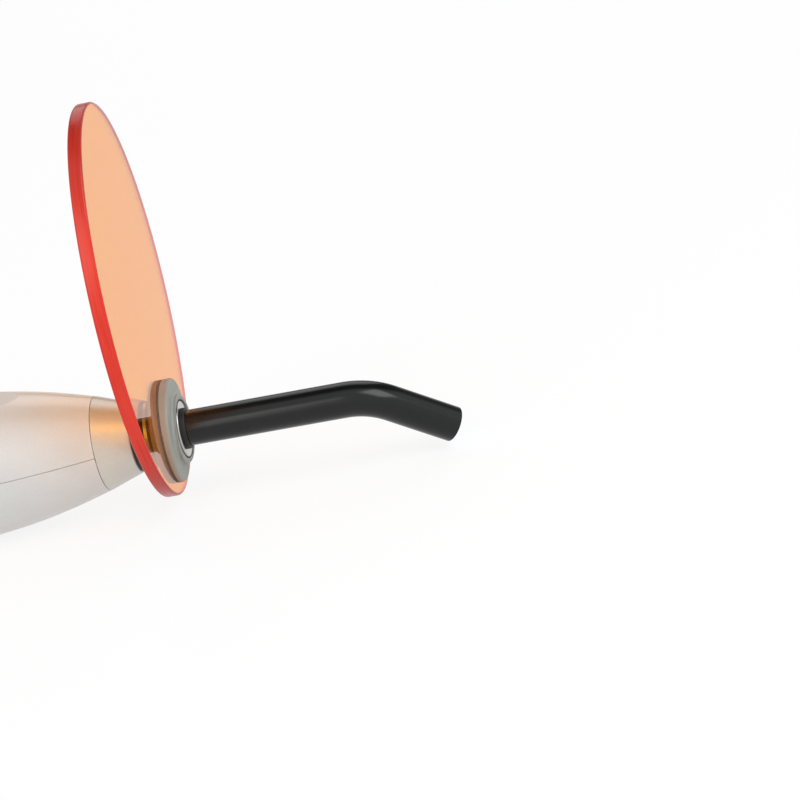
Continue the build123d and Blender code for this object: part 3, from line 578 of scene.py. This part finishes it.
def shield_surface(rim_radius, columns):
    """The plate as a closed grid.

    Its rim is the oval (a cos t, b sin t). A section goes out along the front face, round the rim, back along
    the rear face and through the hole: each point is the rim point less its normal times the section's inset,
    or a share of the way from there to the hole's edge. Guard rows beside both edges keep the faces' shading
    flat, or light that meets the plate at a low angle would be trapped in it.
    """
    low, high = extent("eye_shield")
    half_width, half_height = (high[1:] - low[1:]) / 2
    middle = (high[2] + low[2]) / 2
    t = np.linspace(0, 2 * math.pi, columns, endpoint=False)
    rim = np.stack([half_width * np.cos(t), half_height * np.sin(t) + middle], axis=1)
    normal = np.stack([half_height * np.cos(t), half_width * np.sin(t)], axis=1)
    normal /= np.linalg.norm(normal, axis=1, keepdims=True)
    hole = rim / np.linalg.norm(rim, axis=1, keepdims=True) * SHIELD_HOLE_RADIUS
    bend = np.linspace(0, math.pi / 2, RIM_CURVE_ROWS)
    turn_in, turn_x = rim_radius * (1 - np.sin(bend)), rim_radius * (1 - np.cos(bend))
    inset = np.concatenate([turn_in, turn_in[::-1]])
    depth = np.concatenate([-turn_x, low[0] + turn_x[::-1]])
    edge_rows = rim[None] - normal[None] * inset[:, None, None]
    edge_x = depth[:, None] * np.ones(columns)
    share = np.array([0, *np.linspace(GUARD_SHARE, 1 - GUARD_SHARE, FACE_ROWS - 1), 1])[:, None, None]
    from_hole = hole[None] + (edge_rows[0] - hole)[None] * share[:-1]
    to_hole = hole[None] + (edge_rows[-1] - hole)[None] * share[-2::-1]
    flat = np.concatenate([from_hole, edge_rows, to_hole])
    x = np.concatenate([np.zeros((FACE_ROWS, columns)), edge_x, np.full((FACE_ROWS, columns), low[0])])
    last_rim_row = FACE_ROWS + 2 * RIM_CURVE_ROWS - 1
    return np.concatenate([x[..., None], flat], axis=-1), slice(FACE_ROWS * columns, last_rim_row * columns)


shield_grid, rim_faces = shield_surface(SHIELD_RIM_RADIUS, SHIELD_COLUMNS)
eye_shield = make_piece("eye_shield_plate", shield_grid.reshape(-1, 3), ring_quads(*shield_grid.shape[:2]),
                        finishes["orange_acrylic"], "shield", crease=50)
eye_shield.data.materials.append(finishes["orange_rim"])
which_finish = np.zeros(len(eye_shield.data.polygons), np.int32)
which_finish[rim_faces] = 1
eye_shield.data.polygons.foreach_set("material_index", which_finish)
stand_for(eye_shield, "eye_shield")

# %% [markdown]
# ## The rubber grommet
# A grommet is a spool: a thin waist in the shield's hole between two flanges that grip the plate. Its front
# flange is thicker at the top than at the bottom, and has a raised hub round the guide. It is a turned
# section whose rows may also tilt: a row's place along the axis grows with its height above the axis.

# %% Build the grommet
GROMMET_EDGE = 0.7
HUB_RADIUS, HUB_EDGE, HUB_FACE_X = 7.7, 0.5, 2.8
HUB_SLOPE = math.tan(math.radians(3.4))
WAIST_RADIUS, BORE_RADIUS = 6.5, 4.3
COLLAR_GAP, RECESS_GAP = 0.05, 0.3
RECESS_RADIUS = extent("ferrule_collar")[1][1] + RECESS_GAP
FLANGE_TOP_T, FLANGE_BOTTOM_T = 2.1, 0.9
FLANGE_DRAWN_T = 1.8


def grommet_rows():
    """The softened section as rows of (x, r, wedge share, hub share).

    The front flange is drawn with its face at x = 0. Rows on its face get a wedge share of 1, rows on the
    hub's face a hub share of 1, and the flange's rear rows are brought forward to the plate.
    """
    low, high = extent("shield_grommet")
    outer, rear_x, plate_x = high[1], low[0], extent("eye_shield")[0][0]
    floor_x = extent("ferrule_collar")[0][0] - COLLAR_GAP
    corners = [(rear_x, BORE_RADIUS), (floor_x, BORE_RADIUS), (floor_x, RECESS_RADIUS),
               (HUB_FACE_X, RECESS_RADIUS), (HUB_FACE_X, HUB_RADIUS), (0, HUB_RADIUS), (0, outer),
               (-FLANGE_DRAWN_T, outer),
               (-FLANGE_DRAWN_T, WAIST_RADIUS), (plate_x, WAIST_RADIUS), (plate_x, outer), (rear_x, outer)]
    radii = [0.2, 0.15, 0.1, 0.12, HUB_EDGE, 0.6, GROMMET_EDGE, 0.08, 0.1, 0.1, 0.08, GROMMET_EDGE]
    rows = softened(corners, radii)
    share = np.zeros((len(corners), 3))
    share[3:5, 1] = 1
    share[5:7, 0] = 1
    share[7:9, 2] = FLANGE_DRAWN_T
    share = np.repeat(share, len(rows) // len(corners), axis=0)
    rows[:, 0] += share[:, 2]
    return np.column_stack([rows, share[:, :2]])


def tilted_spin(rows, columns=192):
    """Rows turned round the axis, with x moved by two things.

    They are the wedge share times the flange's thickness at height r sin a, and the hub share times the hub's
    slope at the sideways place r cos a.
    """
    angle = np.linspace(0, 2 * math.pi, columns, endpoint=False)
    x, r, wedge, hub = (rows[:, k, None] * np.ones(columns) for k in range(4))
    y, z = r * np.cos(angle), r * np.sin(angle)
    mean_t, half_range = (FLANGE_TOP_T + FLANGE_BOTTOM_T) / 2, (FLANGE_TOP_T - FLANGE_BOTTOM_T) / 2
    x = x + wedge * (mean_t + half_range * z / extent("shield_grommet")[1][1]) + hub * HUB_SLOPE * y
    return np.stack([x, y, z], axis=-1)


grommet_grid = tilted_spin(grommet_rows())
grommet = make_piece("grommet_rubber", grommet_grid.reshape(-1, 3), ring_quads(*grommet_grid.shape[:2]),
                     finishes["grey_rubber"], "shield", crease=50)
stand_for(grommet, "shield_grommet")

# %% [markdown]
# ## The light guide
# The sheath is a tube bent once near its tip. A curve object with a bevel would do, but its end would be a
# flat cap. Carrying a closed section along the path also gives the tube its wall, its inside and a softened
# end. The same function carries the fibre core, which fills the tube.

# %% The guide's path
GUIDE_STRAIGHT = 39.0
GUIDE_BEND_RADIUS = 15.0
GUIDE_BEND = math.radians(40.0)
GUIDE_TIP = 16.0
GUIDE_TURN = math.radians(24.5)
GUIDE_END = GUIDE_STRAIGHT + GUIDE_BEND_RADIUS * GUIDE_BEND + GUIDE_TIP
SHEATH_RADIUS, CORE_RADIUS = 4.0, 3.6
ROW_STEP, END_ROWS = 0.8, 12


def carried(stations, radii, columns=96):
    """A section carried along the guide's path.

    The path runs straight, turns along an arc of the bend's radius through the bend's angle, and runs
    straight again. A point is path + radius (cos f inward + sin f sideways), where both directions are square
    to the path.
    """
    turn = np.clip((stations - GUIDE_STRAIGHT) / GUIDE_BEND_RADIUS, 0, GUIDE_BEND)
    after = np.clip(stations - GUIDE_STRAIGHT - GUIDE_BEND_RADIUS * GUIDE_BEND, 0, None)
    along = np.minimum(stations, GUIDE_STRAIGHT) + GUIDE_BEND_RADIUS * np.sin(turn) + after * np.cos(turn)
    aside = GUIDE_BEND_RADIUS * (1 - np.cos(turn)) + after * np.sin(turn)
    forward = np.array([1.0, 0.0, 0.0])
    side = np.array([0.0, math.sin(GUIDE_TURN), -math.cos(GUIDE_TURN)])
    centre = along[:, None] * forward + aside[:, None] * side
    inward = -np.sin(turn)[:, None] * forward + np.cos(turn)[:, None] * side
    angle = np.linspace(0, 2 * math.pi, columns, endpoint=False)[None, :, None]
    across = np.cos(angle) * inward[:, None] + np.sin(angle) * np.cross(forward, side)
    return centre[:, None] + radii[:, None, None] * across


# %% Build the sheath and the core
sheath_start = extent("guide_rod")[0][0]
sheath_corners = [(sheath_start, CORE_RADIUS), (sheath_start, SHEATH_RADIUS), (GUIDE_END, SHEATH_RADIUS),
                  (GUIDE_END, CORE_RADIUS)]
sheath_section = filled_in(softened(sheath_corners, [0.1, 0.1, 0.35, 0.05]), ROW_STEP)
sheath_grid = carried(sheath_section[:, 0], sheath_section[:, 1])
guide_rod = make_piece("guide_sheath_tube", sheath_grid.reshape(-1, 3), ring_quads(*sheath_grid.shape[:2]),
                       finishes["guide_sheath"], "guide", crease=50)
stand_for(guide_rod, "guide_rod")


def core_surface(columns=96):
    """A solid bar: rings along the path, closed at each end by rings that shrink to one middle point."""
    stations = np.arange(sheath_start, GUIDE_END, ROW_STEP)
    ends = np.linspace(1, 0.04, END_ROWS)
    station = np.concatenate([np.full(END_ROWS, sheath_start), stations, np.full(END_ROWS, GUIDE_END)])
    radius = np.concatenate([ends[::-1], np.ones(len(stations)), ends]) * CORE_RADIUS
    grid = carried(station, radius, columns)
    middle = carried(np.array([sheath_start, GUIDE_END]), np.zeros(2), columns)[:, 0]
    return grid, middle


def closed_bar(grid, middle):
    """Points and faces of a bar's side with a fan of triangles at each end."""
    rows, columns = grid.shape[:2]
    points = np.vstack([grid.reshape(-1, 3), middle])
    side = outward(points, bar_quads(rows, columns))
    first = np.arange(columns)
    after = (first + 1) % columns
    last = (rows - 1) * columns
    start_fan = np.stack([after, first, np.full(columns, rows * columns)], axis=1)
    end_fan = np.stack([first + last, after + last, np.full(columns, rows * columns + 1)], axis=1)
    if side[0, 0] != 0:
        start_fan, end_fan = start_fan[:, ::-1], end_fan[:, ::-1]
    return points, side.tolist() + start_fan.tolist() + end_fan.tolist()


core_grid, core_ends = core_surface()
core_points, core_faces = closed_bar(core_grid, core_ends)
guide_core = make_piece("guide_fibre_core", core_points, core_faces, finishes["fibre_glass"], "guide",
                        crease=60)
stand_for(guide_core, "guide_core")
tip_points = END_ROWS * core_grid.shape[1] + len(core_ends)
lit = np.zeros(len(core_points), np.float32)
lit[-tip_points:] = 1.0
guide_core.data.attributes.new("lit", "FLOAT", "POINT").data.foreach_set("value", lit)

# %% [markdown]
# ## Turned rings
# The ferrule, its collar, the black lip, the sealing rings and the nose are all turned on a lathe or
# moulded round, so each is one section of (distance along the axis, radius) corners, softened and spun.

# %% Ferrule, collar, lip and rings
FERRULE_SPIGOT, FERRULE_FLANGE, FERRULE_NECK = 6.0, 7.5, 4.25
O_RING_CORD = 1.0
O_RING_BACK = (4.0, 11.0)
GROOVE_GAP, SEAL_GAP, FERRULE_FLANGE_T = 0.1, 0.05, 1.0
ferrule_low, ferrule_high = extent("guide_ferrule")
FERRULE_SEAT = extent("nose_seal")[1][0] + SEAL_GAP


def ferrule_section():
    """The spigot with a groove for each ring, the flange on the seal, and the neck through the shield."""
    groove = []
    for back in sorted(O_RING_BACK, reverse=True):
        middle, half = FERRULE_SEAT - back, O_RING_CORD / 2 + GROOVE_GAP
        deep = FERRULE_SPIGOT - O_RING_CORD
        groove += [(middle - half, FERRULE_SPIGOT), (middle - half, deep), (middle + half, deep),
                   (middle + half, FERRULE_SPIGOT)]
    start, end, flange_end = ferrule_low[0], ferrule_high[0], FERRULE_SEAT + FERRULE_FLANGE_T
    return [(start, SHEATH_RADIUS), (start, FERRULE_SPIGOT), *groove, (FERRULE_SEAT, FERRULE_SPIGOT),
            (FERRULE_SEAT, FERRULE_FLANGE), (flange_end, FERRULE_FLANGE), (flange_end, FERRULE_NECK),
            (end, FERRULE_NECK), (end, SHEATH_RADIUS)]


def turned_piece(name, node, corners, radius, body, slot):
    """One spun section that stands for a CAD node."""
    section = softened(corners, radius)
    quads = ring_quads(len(section), TURNED_COLUMNS)
    made = make_piece(name, spun(section), quads, finishes[slot], body, crease=50)
    return stand_for(made, node)


def ring_corners(node, bore):
    """A plain ring's section: the CAD node's length and outer radius, and its bore."""
    low, high = extent(node)
    return [(low[0], bore), (low[0], high[1]), (high[0], high[1]), (high[0], bore)]


turned_piece("ferrule_body", "guide_ferrule", ferrule_section(), 0.2, "guide", "ferrule_steel")
turned_piece("ferrule_collar_ring", "ferrule_collar", ring_corners("ferrule_collar", FERRULE_NECK),
             [0.08, 0.15, 0.28, 0.08], "guide", "ferrule_steel")
turned_piece("rod_lip_ring", "rod_lip", ring_corners("rod_lip", SHEATH_RADIUS),
             [0.05, 0.1, 0.45, 0.1], "guide", "black_rubber")


def o_ring_surface(rows=24, columns=128):
    """Two rings of round section: (x + c cos q, (R + c sin q) round the axis)."""
    turn = np.linspace(0, 2 * math.pi, rows, endpoint=False)
    cord, centre = O_RING_CORD / 2, FERRULE_SPIGOT - O_RING_CORD / 2
    sections = [np.stack([FERRULE_SEAT - back + cord * np.cos(turn), centre + cord * np.sin(turn)], axis=1)
                for back in O_RING_BACK]
    points = np.vstack([spun(section, columns) for section in sections])
    quads = ring_quads(rows, columns)
    return points, np.vstack([quads, quads + rows * columns])


o_ring_points, o_ring_quads = o_ring_surface()
o_rings = make_piece("guide_seal_rings", o_ring_points, o_ring_quads, finishes["black_rubber"], "guide")
stand_for(o_rings, "guide_o_rings")

# %% [markdown]
# The nose is a short cone whose front edge is softened and whose rear edge meets the handle in a fine seam.
# Its tail, with a groove for the rib that locks it, is inside the handle. The seal is a black ring on its
# front face.

# %% Nose and seal
NOSE_FACE_RADIUS = 7.95
NOSE_TAIL_RADIUS, NOSE_BORE_RADIUS, SOCKET_LIP_RADIUS = 9.6, 7.25, 5.6
NOSE_SEAM_X, LOCK_FRONT_X, LOCK_BACK_X = -15.9, -23.65, -25.35
LOCK_RADIUS = NOSE_TAIL_RADIUS - 0.9
SLEEVE_GAP, SOCKET_LIP_T = 0.05, 1.0
SEAL_BORE_RADIUS = 6.05
nose_low, nose_high = extent("nose_ring")
lip_front = extent("swivel_sleeve")[0][0] - SLEEVE_GAP
lip_back = lip_front - SOCKET_LIP_T
nose_corners = [
    (nose_high[0], NOSE_BORE_RADIUS), (nose_high[0], NOSE_FACE_RADIUS), (NOSE_SEAM_X, nose_high[1]),
    (NOSE_SEAM_X, NOSE_TAIL_RADIUS), (LOCK_FRONT_X, NOSE_TAIL_RADIUS), (LOCK_FRONT_X, LOCK_RADIUS),
    (LOCK_BACK_X, LOCK_RADIUS), (LOCK_BACK_X, NOSE_TAIL_RADIUS), (nose_low[0], NOSE_TAIL_RADIUS),
    (nose_low[0], NOSE_BORE_RADIUS), (lip_back, NOSE_BORE_RADIUS), (lip_back, SOCKET_LIP_RADIUS),
    (lip_front, SOCKET_LIP_RADIUS), (lip_front, NOSE_BORE_RADIUS)]
nose_radii = [0.15, 0.4, *([0.12] * (len(nose_corners) - 2))]
turned_piece("nose_cone", "nose_ring", nose_corners, nose_radii, "handle", "nose_metal")
turned_piece("nose_seal_ring", "nose_seal", ring_corners("nose_seal", SEAL_BORE_RADIUS),
             [0.05, 0.1, 0.2, 0.1], "handle", "black_rubber")

# %% [markdown]
# ## Press keys
# A key is a cap with a soft edge and a slightly domed top, on a wider flange that stops it under the shell.
# Its outline is a long round-ended shape: two half circles a straight apart. A section of (growth, height)
# rows widens or narrows the outline, and the flat top and bottom shrink it to its middle.

# %% Build the keys
KEY_FLANGE_REACH, KEY_FLANGE_HEIGHT = 0.8, 0.8
KEY_DOME, KEY_SHOULDER, KEY_INSET = 0.3, 0.15, 0.9
FACE_RINGS, LAST_RING = 10, 0.05


def key_surface(low, high, columns=96):
    """Points (X +- s straight + s r cos a, Y + s r sin a, z).

    r is the outline's end radius plus the row's growth, s is 1 on the sides and runs to 0 over the two faces,
    and the top's height is its highest point less dome s^2.
    """
    middle, width = (low + high) / 2, (high - low)[:2]
    end_radius = min(width) / 2 - KEY_FLANGE_REACH
    straight = (max(width) - min(width)) / 2
    base, rim_z = low[2], high[2] - KEY_DOME
    corners = [(-KEY_INSET, base), (KEY_FLANGE_REACH, base), (KEY_FLANGE_REACH, base + KEY_FLANGE_HEIGHT),
               (0, base + KEY_FLANGE_HEIGHT), (0, rim_z - KEY_SHOULDER), (-KEY_INSET, rim_z)]
    section = softened(corners, [0.1, 0.1, 0.1, 0.05, 0.6, 0.1])
    corner_rows = len(section) // len(corners)
    side = section[corner_rows:-corner_rows]
    shrink, inset = np.linspace(1, LAST_RING, FACE_RINGS), np.full(FACE_RINGS, -KEY_INSET)
    growth = np.concatenate([inset, side[:, 0], inset])
    height = np.concatenate([np.full(FACE_RINGS, base), side[:, 1], high[2] - KEY_DOME * shrink ** 2])
    share = np.concatenate([shrink[::-1], np.ones(len(side)), shrink])
    angle = np.linspace(0, 2 * math.pi, columns, endpoint=False) + math.pi / columns
    reach = (end_radius + growth)[:, None]
    along = share[:, None] * (straight * np.sign(np.cos(angle)) + reach * np.cos(angle))
    across = share[:, None] * reach * np.sin(angle)
    z = np.repeat(height[:, None], columns, axis=1)
    grid = np.stack([middle[0] + along, middle[1] + across, z], axis=-1)
    return grid, np.array([[*middle[:2], base], [*middle[:2], high[2]]])


for key in ("start", "mode", "timer"):
    key_points, key_faces = closed_bar(*key_surface(*extent(key + "_button")))
    key_slot = "key_blue" if key == "start" else "key_grey"
    key_cap = make_piece(key + "_key_cap", key_points, key_faces, finishes[key_slot], key + "_key", crease=50)
    stand_for(key_cap, key + "_button")

# %% [markdown]
# ## Floor, light and camera
# The floor is white and large. Where a ray shows it directly, most of its brightness is its own, so it
# stays white, and the rest is lit, so the object's shadow still falls on it. In a reflection it is a little
# darker. Seen from below it is clear, so that the underside of the object can be looked at.

# %% Floor
FLOOR_HALF = 4.0
FLOOR_GLOW = 0.8
FLOOR_WHITE, FLOOR_MIRRORED = 1.05, 0.98


def shows_backdrop(tree):
    """1 for rays from the camera, in a reflection or through glass, and 0 for gathered light."""
    path = add(tree, "LightPath").outputs
    direct = sum_of(tree, path["Is Camera Ray"], path["Is Glossy Ray"], "MAXIMUM")
    return sum_of(tree, direct, path["Is Transmission Ray"], "MAXIMUM")


def floor_finish():
    material = bpy.data.materials.new("pale_floor")
    material.use_nodes = True
    tree = material.node_tree
    tree.nodes.remove(tree.nodes["Principled BSDF"])
    place = add(tree, "TexCoord").outputs["Object"]
    cloud = add(tree, "TexNoise", {"Vector": place, "Scale": 3.0}).outputs["Fac"]
    pale = drift(tree, cloud, (0.86, 0.86, 0.87, 1), (0.88, 0.88, 0.88, 1))
    lit_part = add(tree, "BsdfDiffuse", {"Color": pale})
    mirrored = add(tree, "LightPath").outputs["Is Glossy Ray"]
    glow = add(tree, "Emission", {"Strength": between(tree, mirrored, FLOOR_WHITE, FLOOR_MIRRORED)})
    share = sum_of(tree, shows_backdrop(tree), FLOOR_GLOW, "MULTIPLY")
    front = add(tree, "MixShader", {0: share, 1: lit_part.outputs["BSDF"], 2: glow.outputs["Emission"]})
    under = add(tree, "BsdfTransparent")
    facing = add(tree, "NewGeometry").outputs["Backfacing"]
    both = add(tree, "MixShader", {0: facing, 1: front.outputs["Shader"], 2: under.outputs["BSDF"]})
    tree.links.new(both.outputs["Shader"], tree.nodes["Material Output"].inputs["Surface"])
    return material


floor_mesh = bpy.data.meshes.new("floor")
floor_corners = FLOOR_HALF * np.array([(-1, -1, 0), (1, -1, 0), (1, 1, 0), (-1, 1, 0)])
floor_mesh.from_pydata(floor_corners, [], [(0, 1, 2, 3)])
floor_mesh.materials.append(floor_finish())
floor = bpy.data.objects.new("floor", floor_mesh)
bpy.context.scene.collection.objects.link(floor)
floor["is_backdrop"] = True
print("floor is", 2 * FLOOR_HALF, "metres wide")

# %% [markdown]
# Three soft boxes and an even white world make plain studio light. The key stands in front of the shield
# and above it, so some of its light reaches the nose through the orange plate. Reflections show a bright
# room with a dark patch high up behind the object, which gives the black guide a dark upper side over a
# pale band.

# %% Lamps and world
WORLD_FILL = 0.5
DARK_SIDE = (0.0, 0.64, 0.77)
DARK_START, DARK_END, DARKEST = 0.6, 0.78, 0.1


def soft_box(name, place, size, power):
    """A square lamp at a place in metres, turned to face the middle of the shield."""
    lamp = bpy.data.lights.new(name, "AREA")
    lamp.shape, lamp.size, lamp.energy = "SQUARE", size, power
    made = bpy.data.objects.new(name, lamp)
    bpy.context.scene.collection.objects.link(made)
    made.location = place
    target = np.array(ORIGIN) - np.array(place)
    made.rotation_mode = "QUATERNION"
    made.rotation_quaternion = Vector(target).to_track_quat("-Z", "Y")
    made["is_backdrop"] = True
    return made


soft_box("key_box", (0.60, -0.30, 0.62), 0.5, 2.6)
soft_box("fill_box", (-0.35, -0.75, 0.45), 0.6, 2.0)
soft_box("back_box", (0.05, 0.75, 0.60), 0.6, 1.4)

world = bpy.data.worlds.new("studio")
bpy.context.scene.world = world
world.use_nodes = True
sky = world.node_tree


def studio_brightness(tree):
    """The fill for gathered light, white where the world is seen, and darker on one side in reflections."""
    path = add(tree, "LightPath").outputs
    direction = add(tree, "TexCoord").outputs["Generated"]
    nearness = add(tree, "VectorMath", {0: direction, 1: DARK_SIDE}, operation="DOT_PRODUCT")
    dome = add(tree, "MapRange", {"Value": nearness.outputs["Value"], "From Min": DARK_START,
                                  "From Max": DARK_END, "To Min": 1.0, "To Max": DARKEST}).outputs["Result"]
    seen = sum_of(tree, path["Is Camera Ray"], path["Is Transmission Ray"], "MAXIMUM")
    shown = sum_of(tree, seen, dome, "MAXIMUM")
    span = sum_of(tree, shown, WORLD_FILL, "SUBTRACT")
    return sum_of(tree, sum_of(tree, span, shows_backdrop(tree), "MULTIPLY"), WORLD_FILL)


brightness = studio_brightness(sky)
background = sky.nodes["Background"]
background.inputs["Color"].default_value = (1, 1, 1, 1)
sky.links.new(brightness, background.inputs["Strength"])
bpy.context.scene.view_settings.view_transform = "Standard"
print("three soft boxes and a white world")

# %% [markdown]
# The camera looks a little down on the guide from its right side, from half a metre away with a long lens,
# and is rolled so that the guide climbs across the frame.

# %% Camera
VIEW_AZIMUTH, VIEW_ELEVATION, VIEW_ROLL = np.radians([7.269, 21.549, -12.815])
VIEW_ASIDE, VIEW_ABOVE, VIEW_AWAY = 50.418, 6.805, 541.974
away = np.array([math.sin(VIEW_AZIMUTH) * math.cos(VIEW_ELEVATION),
                 -math.cos(VIEW_AZIMUTH) * math.cos(VIEW_ELEVATION), math.sin(VIEW_ELEVATION)])
level = np.array([math.cos(VIEW_AZIMUTH), math.sin(VIEW_AZIMUTH), 0])
upright = np.cross(away, level)
right = math.cos(VIEW_ROLL) * level + math.sin(VIEW_ROLL) * upright
above = -math.sin(VIEW_ROLL) * level + math.cos(VIEW_ROLL) * upright
camera_data = bpy.data.cameras.new("camera")
camera_data.lens, camera_data.sensor_width = 110, 36
camera_data.clip_start, camera_data.clip_end = 0.01, 50
camera = bpy.data.objects.new("camera", camera_data)
bpy.context.scene.collection.objects.link(camera)
turned_to = np.eye(4)
turned_to[:3, :3] = np.column_stack([right, above, away])
turned_to[:3, 3] = ORIGIN + (VIEW_ASIDE * right + VIEW_ABOVE * above + VIEW_AWAY * away) * MM
camera.matrix_world = Matrix(turned_to.tolist())
bpy.context.scene.camera = camera
print("camera is at", turned_to[:3, 3].round(3))

# %% [markdown]
# ## Last checks
# The finished object's box is measured and set against the CAD model's box, and how far it grew past the far
# corner is printed. The finished object has to stay inside the CAD model's box.

# %% Compare sizes and finish
visual_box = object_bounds()
growth = [round((after - before) / MM, 3) for after, before in zip(visual_box[1], cad_box[1])]
print("grew by", growth, "mm past the far corner")
